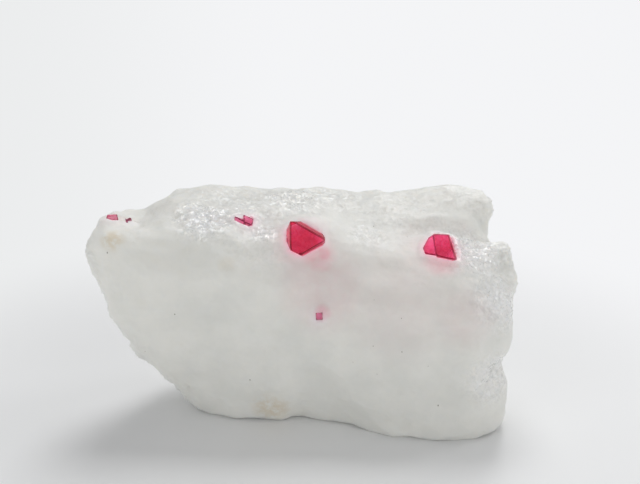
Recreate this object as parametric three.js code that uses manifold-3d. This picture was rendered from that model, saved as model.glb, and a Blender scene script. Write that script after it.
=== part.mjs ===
// Red spinel crystals in a broken block of white marble.
//
// Lengths are in millimetres and angles in degrees. +X is right, -Y is the
// front and +Z is up. The origin is at the middle of the block's length and
// depth, on the plane that it rests on.

import * as THREE from "three";
import { ConvexGeometry } from "three/addons/geometries/ConvexGeometry.js";
import { ImprovedNoise } from "three/addons/math/ImprovedNoise.js";
import { mergeVertices } from "three/addons/utils/BufferGeometryUtils.js";
import Module from "manifold-3d";

// ---------------------------------------------------------------------------
// Driving dimensions
// ---------------------------------------------------------------------------

const SURFACE_DETAIL = 19; // the block has 20 * (detail + 1)^2 triangles
const SOCKET_GAP = 0.12; // clearance between a crystal and its socket

// The block from the front, as [x, z], clockwise from the left of its foot.
const FRONT_OUTLINE = [
  [-16.0, 1.4], [-18.7, 5.4], [-20.3, 7.0], [-22.6, 9.3], [-24.4, 12.8],
  [-25.6, 15.4], [-26.0, 18.2], [-28.0, 20.8], [-28.6, 23.4], [-27.6, 26.4],
  [-26.9, 28.9], [-25.0, 29.1], [-22.6, 27.4], [-18.2, 30.4], [-13.6, 31.5],
  [-9.3, 30.7], [-6.0, 30.2], [0.4, 30.4], [5.0, 30.1], [8.0, 29.1],
  [12.3, 30.0], [15.2, 30.6], [17.4, 31.1], [21.4, 31.0], [24.8, 30.9],
  [27.2, 30.4], [27.9, 28.4], [27.4, 26.7], [28.2, 25.8], [29.4, 24.6],
  [31.0, 22.2], [29.4, 19.4], [28.0, 16.0], [28.1, 12.0], [28.2, 6.0],
  [28.0, 2.6], [26.8, -1.4], [-14.8, -1.4],
];

// The foot of the block from above, as [x, y], clockwise from its left end.
const FOOT_OUTLINE = [
  [-17.0, -0.6], [-15.4, 3.4], [-9.0, 6.4], [0.0, 7.6], [9.0, 7.4],
  [17.0, 8.2], [23.6, 6.0], [27.4, 1.6], [28.4, -3.4], [26.8, -8.0],
  [23.6, -10.3], [19.5, -11.0], [14.8, -10.4], [10.4, -9.8], [6.0, -6.2],
  [-0.1, -5.0], [-3.2, -6.0], [-9.5, -5.3], [-15.0, -2.9],
];

// The widest level of the block from above, as [x, y], clockwise from its
// left tip, and the height of that level.
const WAIST_OUTLINE = [
  [-29.6, -3.2], [-28.2, 0.6], [-24.0, 4.6], [-19.0, 8.8], [-14.0, 11.4],
  [-9.0, 12.2], [-2.0, 11.7], [5.0, 12.2], [12.0, 11.6], [16.5, 12.6],
  [21.0, 12.6], [24.8, 11.4], [26.9, 8.4], [26.0, 3.2], [27.6, 0.8],
  [30.4, -2.0], [29.8, -6.0], [27.0, -9.8], [22.5, -11.6], [16.0, -11.2], [9.0, -10.5],
  [2.0, -9.8], [-5.0, -9.4], [-12.0, -8.9], [-19.0, -8.4], [-25.5, -7.0],
];
const WAIST_HEIGHT = 20;
const FLARE = 2.5; // how quickly the foot widens: 1 is even, more is sooner

// Flat breaks that cut the block, each through three points. round is the
// radius that blends the break into what it meets.
const BREAKS = [
  {
    about: "top, falling to the front",
    through: [[-26, -6, 30.4], [18, -10, 26.0], [0, 10, 33.6]],
    round: 7,
  },
  {
    about: "left shoulder, falling to the front and left",
    through: [[-28, -5, 30.8], [-14, -7.6, 27.4], [-18, 5, 35.0]],
    round: 4,
  },
  {
    about: "right shoulder, falling to the front and right",
    through: [[24.5, -11, 20.5], [30.6, -3.5, 19.5], [25, -3.5, 27]],
    round: 4,
  },
  {
    about: "upper back",
    through: [[12, 13.4, 24], [-12, 13.4, 23], [0, 10.6, 32]],
    round: 3,
  },
  {
    about: "left of the back, from the left end",
    through: [[-13, 12.8, 14], [-27, 2.4, 18], [-15.5, 10.8, 29]],
    round: 1.6,
  },
  {
    about: "middle of the back, leaning under",
    through: [[12, 12.4, 19], [-11, 11.8, 17], [-4, 8.6, 2]],
    round: 1.2,
  },
  {
    about: "right of the back, to the right end",
    through: [[29.8, 3.8, 12], [19, 12.6, 14], [26.6, 10.4, 27]],
    round: 1.4,
  },
  {
    about: "low on the right end",
    through: [[27.6, -8, 1], [27.4, 4, 0], [29.6, 0, 13]],
    round: 1.6,
  },
  {
    about: "underside, touching the ground where it is lowest",
    through: [[-14, 4, -0.1], [26, 5, -0.4], [25, -9, -0.4]],
    round: 1,
  },
];
const EDGE_ROUND = 1.6; // radius where the outlines meet

// Steps in the surface. Each drops by drop where the ground passes its point
// in the toward direction, over width, and fades out at reach from it.
const LEDGES = [
  { at: [20, 1.2, 27], toward: [0.1, -1, 0], drop: 1.5, width: 2.2, reach: 8 },
  { at: [2, 11, 15], toward: [-0.3, 0, -1], drop: 1.6, width: 1.2, reach: 10 },
  { at: [-12, 9, 21], toward: [-1, 0, 0.4], drop: 1.3, width: 1.2, reach: 8 },
  { at: [17, 11, 21], toward: [1, 0, 0.7], drop: 1.2, width: 1.2, reach: 8 },
  { at: [29, 2, 15], toward: [0, 1, -0.5], drop: 1.3, width: 1.2, reach: 7 },
  { at: [-4, 6, 29], toward: [-0.6, 1, 0], drop: 0.7, width: 1.4, reach: 6 },
];

// Local lumps and pits: each lifts the surface by rise within about reach of
// its point, or sinks it where rise is negative.
const LUMPS = [
  { at: [25.6, 2.0, 26.4], reach: 1.8, rise: -1.4 }, // cleft at the right end
  { at: [26.2, 5.8, 28.0], reach: 2.6, rise: 1.5 }, // knob above it
  { at: [27.6, -1.8, 24.4], reach: 2.2, rise: 1.4 }, // knob in front of it
  { at: [25.6, -8.2, 10.4], reach: 2.2, rise: -1.4 }, // groove below it
  { at: [27.0, -4.2, 8.7], reach: 2.4, rise: -1.8 },
  { at: [28.2, 1.2, 6.8], reach: 2.4, rise: -1.4 },
  { at: [1.5, -3.4, 27.8], reach: 2.6, rise: 1.3 }, // behind the brow crystal
  { at: [18.5, -3.6, 26.0], reach: 3.2, rise: 1.3 }, // behind the right crystal
  { at: [-23.6, -0.2, 28.6], reach: 1.8, rise: 0.3 }, // behind the left crystals
  { at: [3.0, -7.4, 24.6], reach: 1.4, rise: 0.3 }, // below the brow crystal
  { at: [19.6, -6.8, 22.2], reach: 1.9, rise: 0.35 }, // below the right crystal
  { at: [21.0, 8.0, 30.0], reach: 4.5, rise: 0.6 },
  { at: [-9.0, 12.0, 8.0], reach: 4.5, rise: -1.5 },
  { at: [13.0, 12.0, 18.0], reach: 6.0, rise: 0.9 },
  { at: [6.0, 9.0, 5.0], reach: 3.6, rise: -1.0 },
  { at: [-11.0, 1.0, 0.0], reach: 4.0, rise: 1.0 }, // feet
  { at: [21.0, -6.0, 0.0], reach: 4.5, rise: 1.0 },
  { at: [18.0, 5.0, 0.0], reach: 4.5, rise: 1.0 },
];

// Roughness all over, coarse to fine: the spacing of its lumps, their height,
// and the height of the sharp ridges between them.
const ROUGHNESS = [
  { spacing: 9.0, lump: 0.7, ridge: 0.6 },
  { spacing: 4.2, lump: 0.45, ridge: 0.4 },
  { spacing: 2.1, lump: 0.25, ridge: 0.25 },
];
const FRONT_ROUGHNESS = 0.8; // share of that roughness on the front
const BACK_ROUGHNESS = 1.9; // share of it on the back, below the crest
const CREST_HEIGHT = 28.5;

const BLOCK_CENTRE = new THREE.Vector3(0, 0.5, 14.5);
const BLOCK_HALF_SIZE = new THREE.Vector3(29.5, 12.5, 15.5);

// The crystals. Each is one octahedron or several grown together. A crystal's
// own +Z is the way its main face looks; turn and lift aim that face, where
// turn 0 and lift 0 face the front, and spin turns the crystal about it.
// size is the distance from the centre to an octahedron face, growth scales
// that distance for single faces in the order of octahedronFaces, and cuts are
// contact faces where the marble stopped the growth, each facing azimuth in
// the plane of the main face at distance from the centre.
const CRYSTALS = [
  {
    name: "spinel_brow",
    at: [0.1, -4.95, 25.9],
    turn: 1,
    lift: 17,
    spin: 0,
    octahedra: [{
      offset: [0, 0, 0],
      twist: 0,
      size: 2.19,
      growth: [1, 1, 1, 1, 1, 1, 1, 1],
      cuts: [
        { azimuth: 0, distance: 2.86 },
        { azimuth: 60, distance: 1.97 },
        { azimuth: 90, distance: 2.38 },
        { azimuth: 155, distance: 2.38 },
        { azimuth: 177, distance: 2.07 },
        { azimuth: 207, distance: 1.92 },
        { azimuth: 243, distance: 1.83 },
      ],
    }],
  },
  {
    name: "spinel_right",
    at: [18.15, -3.45, 24.8],
    turn: -11,
    lift: 17,
    spin: -39.5,
    octahedra: [
      {
        offset: [0, 0, 0],
        twist: 0,
        size: 2.11,
        growth: [1, 1, 1, 1, 1, 1, 1, 1],
        cuts: [
          { azimuth: 60, distance: 1.58 },
          { azimuth: 131, distance: 1.35 },
          { azimuth: 231, distance: 0.62 },
        ],
      },
      {
        offset: [-0.9, -0.8, 0.8],
        twist: 14,
        size: 1.2,
        growth: [1, 1.85, 1, 1.45, 1, 1, 1, 1],
        cuts: [
          { azimuth: 117, distance: 1.36 },
          { azimuth: 151, distance: 0.87 },
          { azimuth: 180, distance: 0.62 },
          { azimuth: 228, distance: 1.02 },
          { azimuth: 290, distance: 1.33 },
        ],
      },
    ],
  },
  {
    name: "spinel_top",
    at: [-7.7, -2.15, 27.38],
    turn: 5,
    lift: 35,
    spin: 0,
    octahedra: [
      {
        offset: [0.65, -0.02, -0.05],
        twist: 4,
        size: 0.8,
        growth: [1, 1, 1, 1, 1, 1, 1, 1],
        cuts: [
          { azimuth: 346, distance: 0.57 },
          { azimuth: 243, distance: 0.74 },
        ],
      },
      {
        offset: [-0.62, 0.18, 0.12],
        twist: 8,
        size: 0.6,
        growth: [1, 1, 1.28, 1.8, 1, 1, 1, 1],
        cuts: [
          { azimuth: 60, distance: 0.31 },
          { azimuth: 169, distance: 0.58 },
          { azimuth: 233, distance: 0.38 },
        ],
      },
    ],
  },
  {
    name: "spinel_left",
    at: [-24.75, -2.6, 28.22],
    turn: 10,
    lift: 40,
    spin: 0,
    octahedra: [{
      offset: [-0.08, -0.17, 0],
      twist: 0,
      size: 0.8,
      growth: [0.5, 1, 1, 1, 1, 1, 1, 0.6],
      cuts: [
        { azimuth: 8, distance: 0.7 },
        { azimuth: 90, distance: 0.48 },
        { azimuth: 154, distance: 0.75 },
        { azimuth: 240, distance: 0.5 },
        { azimuth: 286, distance: 0.57 },
      ],
    }],
  },
  {
    name: "spinel_chip",
    at: [-22.75, -2.7, 27.85],
    turn: 10,
    lift: 40,
    spin: 0,
    octahedra: [
      {
        offset: [0.03, 0.08, -0.05],
        twist: 0,
        size: 0.4,
        growth: [0.8, 1, 1, 1, 1, 1, 1, 1],
        cuts: [
          { azimuth: 26, distance: 0.36 },
          { azimuth: 116, distance: 0.15 },
          { azimuth: 206, distance: 0.4 },
          { azimuth: 296, distance: 0.15 },
        ],
      },
      {
        offset: [-0.18, -0.22, -0.1],
        twist: 0,
        size: 0.4,
        growth: [0.8, 1, 1, 1, 1, 1, 1, 1],
        cuts: [
          { azimuth: 10, distance: 0.12 },
          { azimuth: 190, distance: 0.12 },
          { azimuth: 270, distance: 0.32 },
        ],
      },
    ],
  },
  {
    name: "spinel_low",
    at: [2.27, -9.7, 17.3],
    turn: 0,
    lift: 20,
    spin: 3,
    octahedra: [{
      offset: [0, 0, 0],
      twist: 0,
      size: 0.8,
      growth: [0.6, 1, 1, 1, 1, 1, 1, 0.7],
      cuts: [
        { azimuth: 0, distance: 0.43 },
        { azimuth: 90, distance: 0.46 },
        { azimuth: 180, distance: 0.43 },
        { azimuth: 270, distance: 0.46 },
      ],
    }],
  },
];
const BEVEL = 0.015; // share of its height that each octahedron edge loses

// ---------------------------------------------------------------------------
// Marble block
// ---------------------------------------------------------------------------

const perlin = new ImprovedNoise();

// Distance from a point to a closed outline, negative inside it.
function outlineDistance(outline, px, py) {
  let nearest = Infinity;
  let inside = false;
  outline.forEach(([ax, ay], i) => {
    const [bx, by] = outline[(i + 1) % outline.length];
    const [ex, ey] = [bx - ax, by - ay];
    const along = ((px - ax) * ex + (py - ay) * ey) / (ex * ex + ey * ey);
    const t = THREE.MathUtils.clamp(along, 0, 1);
    nearest = Math.min(nearest, Math.hypot(px - ax - t * ex, py - ay - t * ey));
    if (ay > py !== by > py && px < ax + (ex * (py - ay)) / ey) {
      inside = !inside;
    }
  });
  return inside ? -nearest : nearest;
}

// The larger of two distances, blended over about the given radius.
function smoothMax(a, b, radius) {
  const overlap = Math.max(radius - Math.abs(a - b), 0) / radius;
  return Math.max(a, b) + (overlap * overlap * radius) / 4;
}

const breakPlanes = BREAKS.map(({ through, round }) => {
  const corners = through.map((corner) => new THREE.Vector3(...corner));
  const plane = new THREE.Plane().setFromCoplanarPoints(...corners);
  if (plane.distanceToPoint(BLOCK_CENTRE) > 0) {
    plane.negate();
  }
  return { plane, round };
});

const ledges = LEDGES.map(({ at, toward, ...rest }) => ({
  centre: new THREE.Vector3(...at),
  direction: new THREE.Vector3(...toward).normalize(),
  ...rest,
}));

const lumps = LUMPS.map(({ at, ...rest }) => ({
  centre: new THREE.Vector3(...at),
  ...rest,
}));

// How much a local feature still counts at a point, from 1 down to 0.
function fade(point, centre, reach) {
  return Math.exp(-centre.distanceToSquared(point) / (reach * reach));
}

// Height of the surface relief at a point.
function relief(point) {
  const behind = THREE.MathUtils.smoothstep(point.y, 2, 10)
    * (1 - THREE.MathUtils.smoothstep(point.z, CREST_HEIGHT - 5, CREST_HEIGHT));
  const coarseness = THREE.MathUtils.lerp(FRONT_ROUGHNESS, BACK_ROUGHNESS, behind);
  let height = 0;
  ROUGHNESS.forEach(({ spacing, lump, ridge }, octave) => {
    const { x, y, z } = point.clone().divideScalar(spacing);
    const swell = lump * perlin.noise(x + 7.3 * octave, y, z);
    const crease = 0.25 - Math.abs(perlin.noise(x, y + 3.1, z + 5.7));
    height += coarseness * (swell + ridge * crease);
  });
  lumps.forEach(({ centre, reach, rise }) => {
    height += rise * fade(point, centre, reach);
  });
  ledges.forEach(({ centre, direction, drop, width, reach }) => {
    const past = point.clone().sub(centre).dot(direction);
    const step = THREE.MathUtils.smoothstep(past, -width / 2, width / 2);
    height -= drop * step * fade(point, centre, reach);
  });
  return height;
}

// Distance to the block's surface, negative inside the marble.
function blockDistance(point) {
  const below = THREE.MathUtils.clamp(1 - point.z / WAIST_HEIGHT, 0, 1);
  const plan = THREE.MathUtils.lerp(
    outlineDistance(FOOT_OUTLINE, point.x, point.y),
    outlineDistance(WAIST_OUTLINE, point.x, point.y),
    1 - below ** FLARE,
  );
  const front = outlineDistance(FRONT_OUTLINE, point.x, point.z);
  let distance = smoothMax(front, plan, EDGE_ROUND);
  breakPlanes.forEach(({ plane, round }) => {
    distance = smoothMax(distance, plane.distanceToPoint(point), round);
  });
  return Math.max(distance - relief(point), -point.z);
}

// The distance from the centre to the surface along a direction.
function blockRadius(direction) {
  let inner = 0;
  let outer = 2 * BLOCK_HALF_SIZE.x;
  const probe = new THREE.Vector3();
  for (let step = 0; step < 26; step++) {
    const middle = (inner + outer) / 2;
    probe.copy(BLOCK_CENTRE).addScaledVector(direction, middle);
    if (blockDistance(probe) < 0) {
      inner = middle;
    } else {
      outer = middle;
    }
  }
  return inner;
}

function blockGeometry() {
  const geometry = new THREE.IcosahedronGeometry(1, SURFACE_DETAIL);
  const position = geometry.getAttribute("position");
  const vertex = new THREE.Vector3();
  const direction = new THREE.Vector3();
  for (let i = 0; i < position.count; i++) {
    vertex.fromBufferAttribute(position, i);
    direction.copy(vertex).multiply(BLOCK_HALF_SIZE).normalize();
    vertex.copy(BLOCK_CENTRE);
    vertex.addScaledVector(direction, blockRadius(direction));
    position.setXYZ(i, vertex.x, vertex.y, Math.max(vertex.z, 0));
  }
  return geometry;
}

// ---------------------------------------------------------------------------
// Spinel crystals
// ---------------------------------------------------------------------------

// The direction at an azimuth, leaning from +Z by polar. Both in degrees.
function direction(azimuth, polar) {
  const [theta, phi] = [azimuth, polar].map(THREE.MathUtils.degToRad);
  return new THREE.Vector3(
    Math.sin(phi) * Math.cos(theta),
    Math.sin(phi) * Math.sin(theta),
    Math.cos(phi),
  );
}

// The octahedron's eight faces: the main one, the three that meet it, and
// the four behind them.
const FACE_LEAN = THREE.MathUtils.radToDeg(Math.acos(1 / 3));
const octahedronFaces = [
  direction(0, 0),
  direction(60, FACE_LEAN),
  direction(180, FACE_LEAN),
  direction(300, FACE_LEAN),
  direction(240, 180 - FACE_LEAN),
  direction(0, 180 - FACE_LEAN),
  direction(120, 180 - FACE_LEAN),
  direction(0, 180),
];

// The octahedron's twelve edges, each as the numbers of the faces that meet.
const octahedronEdges = octahedronFaces.flatMap((a, i) =>
  octahedronFaces
    .map((b, j) => (j > i && a.dot(b) > 0.3 ? [i, j] : null))
    .filter(Boolean));

// The narrow face that bevels an edge, moved out by grown.
function bevelPlane([i, j], { size, growth }, grown) {
  const middle = octahedronFaces[i].clone().add(octahedronFaces[j]);
  const edgeDistance = (size * (growth[i] + growth[j])) / middle.length();
  const bevelDistance = edgeDistance * (1 - BEVEL);
  return new THREE.Plane(middle.normalize(), -(bevelDistance + grown));
}

// An octahedron's faces as planes, moved out by grown.
function octahedronPlanes(shape, grown) {
  const { size, growth, cuts } = shape;
  return [
    ...octahedronFaces.map((normal, i) =>
      new THREE.Plane(normal, -(size * growth[i] + grown))),
    ...octahedronEdges.map((edge) => bevelPlane(edge, shape, grown)),
    ...cuts.map(({ azimuth, distance }) =>
      new THREE.Plane(direction(azimuth, 90), -(distance + grown))),
  ];
}

// The corner where three planes meet, or null where they don't.
function corner(a, b, c) {
  const bc = b.normal.clone().cross(c.normal);
  const volume = a.normal.dot(bc);
  if (Math.abs(volume) < 1e-6) {
    return null;
  }
  const ca = c.normal.clone().cross(a.normal);
  const ab = a.normal.clone().cross(b.normal);
  return bc.multiplyScalar(-a.constant)
    .addScaledVector(ca, -b.constant)
    .addScaledVector(ab, -c.constant)
    .divideScalar(volume);
}

// The convex solid inside a set of planes.
function solidInside(planes) {
  const corners = [];
  planes.forEach((a, i) => {
    planes.slice(i + 1).forEach((b, j) => {
      planes.slice(i + j + 2).forEach((c) => {
        const point = corner(a, b, c);
        if (point && planes.every((p) => p.distanceToPoint(point) < 1e-6)) {
          corners.push(point);
        }
      });
    });
  });
  return new ConvexGeometry(corners);
}

// ---------------------------------------------------------------------------
// Assembly
// ---------------------------------------------------------------------------

const wasm = await Module();
wasm.setup();

// A closed geometry as a solid that can be joined or cut.
function toSolid(geometry) {
  const bare = geometry.clone();
  bare.deleteAttribute("normal");
  bare.deleteAttribute("uv");
  const merged = mergeVertices(bare, 1e-4);
  return new wasm.Manifold(new wasm.Mesh({
    numProp: 3,
    vertProperties: new Float32Array(merged.getAttribute("position").array),
    triVerts: new Uint32Array(merged.index.array),
  }));
}

function toGeometry(solid) {
  const { vertProperties, triVerts } = solid.getMesh();
  const geometry = new THREE.BufferGeometry();
  geometry.setAttribute("position", new THREE.BufferAttribute(vertProperties, 3));
  geometry.setIndex(new THREE.BufferAttribute(triVerts, 1));
  geometry.computeVertexNormals();
  return geometry;
}

const marbleMaterial = new THREE.MeshStandardMaterial({
  color: 0xdfe0da,
  roughness: 0.55,
  metalness: 0,
  flatShading: true,
});
const spinelMaterial = new THREE.MeshStandardMaterial({
  color: 0xc21a3f,
  roughness: 0.08,
  metalness: 0,
  transparent: true,
  opacity: 0.85,
  flatShading: true,
});

// One octahedron of a crystal, in the crystal's own axes.
function octahedron(shape, grown) {
  const geometry = solidInside(octahedronPlanes(shape, grown));
  geometry.rotateZ(THREE.MathUtils.degToRad(shape.twist));
  return toSolid(geometry.translate(...shape.offset));
}

// A whole crystal moved out by grown, as one solid in its own axes.
function crystalSolid(crystal, grown = 0) {
  return crystal.octahedra
    .map((shape) => octahedron(shape, grown))
    .reduce((joined, next) => joined.add(next));
}

// Puts a crystal's mesh in its place in the block.
function settle(mesh, { at, turn, lift, spin }) {
  mesh.position.set(...at);
  mesh.rotateZ(THREE.MathUtils.degToRad(turn));
  mesh.rotateX(THREE.MathUtils.degToRad(90 - lift));
  mesh.rotateZ(THREE.MathUtils.degToRad(spin));
  mesh.updateMatrixWorld(true);
}

const specimen = new THREE.Group();
let block = toSolid(blockGeometry());
for (const crystal of CRYSTALS) {
  const mesh = new THREE.Mesh(toGeometry(crystalSolid(crystal)), spinelMaterial);
  mesh.name = crystal.name;
  settle(mesh, crystal);
  specimen.add(mesh);
  const socket = toGeometry(crystalSolid(crystal, SOCKET_GAP));
  block = block.subtract(toSolid(socket.applyMatrix4(mesh.matrixWorld)));
}
const marble = new THREE.Mesh(toGeometry(block), marbleMaterial);
marble.name = "marble";
specimen.add(marble);

const bounds = new THREE.Box3().setFromObject(specimen);
const middle = bounds.getCenter(new THREE.Vector3());
specimen.position.set(-middle.x, -middle.y, -bounds.min.z);

export default specimen;
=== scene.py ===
"""Looks of a hand specimen: red spinel octahedra in a broken block of white marble.

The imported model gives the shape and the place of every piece, in metres. This script grows the
broken grain of the calcite on the block, cuts the crystals' sockets in it, dresses the crystals as
clear red glass and sets up a plain pale studio. Lengths are in millimetres unless a comment says
metres, and MM turns them into metres. +X is right, -Y is the front and +Z is up.
"""

from __future__ import annotations

import logging
import math
from dataclasses import dataclass, field
from enum import Enum

import bmesh
import bpy
import numpy as np
from bpy.types import Material, Mesh, Node, NodeSocket, NodeTree, Object, World
from mathutils import Matrix, Vector
from mathutils.bvhtree import BVHTree
from mathutils.kdtree import KDTree

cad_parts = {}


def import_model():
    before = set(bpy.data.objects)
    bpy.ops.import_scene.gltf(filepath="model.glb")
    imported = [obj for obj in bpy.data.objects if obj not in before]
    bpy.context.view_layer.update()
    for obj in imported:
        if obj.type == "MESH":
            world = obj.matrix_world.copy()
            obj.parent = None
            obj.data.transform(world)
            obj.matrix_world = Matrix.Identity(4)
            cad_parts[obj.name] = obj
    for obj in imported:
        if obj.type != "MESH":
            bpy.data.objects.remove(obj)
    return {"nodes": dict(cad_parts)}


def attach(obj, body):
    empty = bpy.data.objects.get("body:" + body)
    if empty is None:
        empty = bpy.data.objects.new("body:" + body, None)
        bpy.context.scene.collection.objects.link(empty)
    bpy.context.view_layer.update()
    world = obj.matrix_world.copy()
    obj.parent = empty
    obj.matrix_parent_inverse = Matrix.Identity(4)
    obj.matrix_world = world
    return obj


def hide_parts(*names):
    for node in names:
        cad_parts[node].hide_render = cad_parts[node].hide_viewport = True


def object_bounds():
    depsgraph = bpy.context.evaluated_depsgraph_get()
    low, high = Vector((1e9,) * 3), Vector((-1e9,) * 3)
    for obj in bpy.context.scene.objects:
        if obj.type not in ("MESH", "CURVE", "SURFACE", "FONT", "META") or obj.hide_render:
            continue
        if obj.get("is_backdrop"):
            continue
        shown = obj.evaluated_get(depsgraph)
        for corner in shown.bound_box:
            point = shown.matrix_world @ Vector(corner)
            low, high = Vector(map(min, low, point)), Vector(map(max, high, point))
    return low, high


LOG = logging.getLogger("spinel_in_marble")
MM = 0.001
WELD = 0.0005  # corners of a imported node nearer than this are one
MIDDLE_GREY = (0.5, 0.5, 0.5)  # what a colour that differs from grain to grain averages
WHITE = (1.0, 1.0, 1.0, 1.0)
BLACK = (0.0, 0.0, 0.0, 1.0)
CHANCE_TURNS = 7.0  # so many that a grain's chance has nothing to do with how it leans
BODY = "root"
RIGHT = (1.0, 0.0, 0.0)
OUTWARD = Vector((0.0, -0.9, 0.44))  # out of the block's front, where the crystals show


class Slot(Enum):
    """The record's material slots."""

    MARBLE = "marble"
    SPINEL = "spinel"


# --- Small tools ---


def smooth_step(low: float, high: float, value: np.ndarray) -> np.ndarray:
    """Rises smoothly from 0 at low to 1 at high.

    Args:
        low: Where the rise starts.
        high: Where it ends.
        value: The numbers to shape.

    Returns:
        The shaped numbers, from 0 to 1.
    """
    share = np.clip((value - low) / (high - low), 0.0, 1.0)
    return share * share * (3.0 - 2.0 * share)


def vertex_places(mesh: Mesh) -> np.ndarray:
    """Reads a mesh's vertices.

    Args:
        mesh: The mesh to read.

    Returns:
        One row for each vertex, in millimetres.
    """
    places = np.empty(len(mesh.vertices) * 3, np.float32)
    mesh.vertices.foreach_get("co", places)
    return places.reshape(-1, 3).astype(float) / MM


def store_values(mesh: Mesh, name: str, values: np.ndarray) -> None:
    """Keeps one number for each vertex in a named attribute.

    Args:
        mesh: The mesh that carries them.
        name: The attribute's name.
        values: One number for each vertex.
    """
    layer = mesh.attributes.new(name, "FLOAT", "POINT")
    layer.data.foreach_set("value", values.astype(np.float32))


def link_mesh(name: str, mesh: Mesh) -> Object:
    """Puts a mesh in the scene as an object at the origin.

    Args:
        name: The object's name.
        mesh: Its mesh.

    Returns:
        The new object.
    """
    mesh.name = name
    piece = bpy.data.objects.new(name, mesh)
    bpy.context.scene.collection.objects.link(piece)
    return piece


def applied(piece: Object) -> Object:
    """Turns what an object's modifiers show into its own mesh.

    Args:
        piece: The object, with its modifiers.

    Returns:
        The same object, with a plain mesh and no modifiers.
    """
    bpy.context.view_layer.update()
    seen = piece.evaluated_get(bpy.context.evaluated_depsgraph_get())
    mesh = bpy.data.meshes.new_from_object(seen)
    old = piece.data
    piece.modifiers.clear()
    piece.data = mesh
    mesh.name = piece.name
    bpy.data.meshes.remove(old)
    return piece


def merged_copy(node: Object, name: str) -> Object:
    """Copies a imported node's loose triangles and joins them.

    Args:
        node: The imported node's object, which stays as it is.
        name: The copy's name.

    Returns:
        A new object with one closed mesh.
    """
    shape = bmesh.new()
    shape.from_mesh(node.data)
    bmesh.ops.remove_doubles(shape, verts=shape.verts, dist=WELD * MM)
    mesh = bpy.data.meshes.new(name)
    shape.to_mesh(mesh)
    shape.free()
    return link_mesh(name, mesh)


def surface_tree(piece: Object) -> BVHTree:
    """Builds a search tree over an object's faces.

    Args:
        piece: An object at the origin.

    Returns:
        The tree, in metres.
    """
    shape = bmesh.new()
    shape.from_mesh(piece.data)
    tree = BVHTree.FromBMesh(shape)
    shape.free()
    return tree


def nearest_distance(trees: list[BVHTree], places: np.ndarray, reach: float) -> np.ndarray:
    """Measures how far points lie from the nearest of several surfaces.

    Args:
        trees: The surfaces, in metres.
        places: The points, in millimetres.
        reach: The largest distance that matters, in millimetres.

    Returns:
        The distances in millimetres, none above reach.
    """
    found = np.full(len(places), reach)
    for tree in trees:
        for index, place in enumerate(places):
            hit = tree.find_nearest(Vector(place) * MM, found[index] * MM)
            if hit[0] is not None:
                found[index] = min(found[index], hit[3] / MM)
    return found


def point_tree(points: list[Vector] | np.ndarray) -> KDTree:
    """Makes a search tree over points.

    Args:
        points: The points, in millimetres.

    Returns:
        The tree, in millimetres.
    """
    tree = KDTree(len(points))
    for index, point in enumerate(points):
        tree.insert(point, index)
    tree.balance()
    return tree


def distance_to(tree: KDTree, places: np.ndarray) -> np.ndarray:
    """Measures from each place to the nearest point of a search tree and returns the distances."""
    return np.array([tree.find(place)[2] for place in places])


def place_piece(piece: Object, slot: Slot, *replaced: str) -> None:
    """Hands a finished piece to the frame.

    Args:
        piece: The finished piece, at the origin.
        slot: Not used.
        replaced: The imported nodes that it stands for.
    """
    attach(piece, BODY)
    if replaced:
        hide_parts(*replaced)
    LOG.info("%s: %d faces", piece.name, len(piece.data.polygons))


# --- Node trees ---


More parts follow.
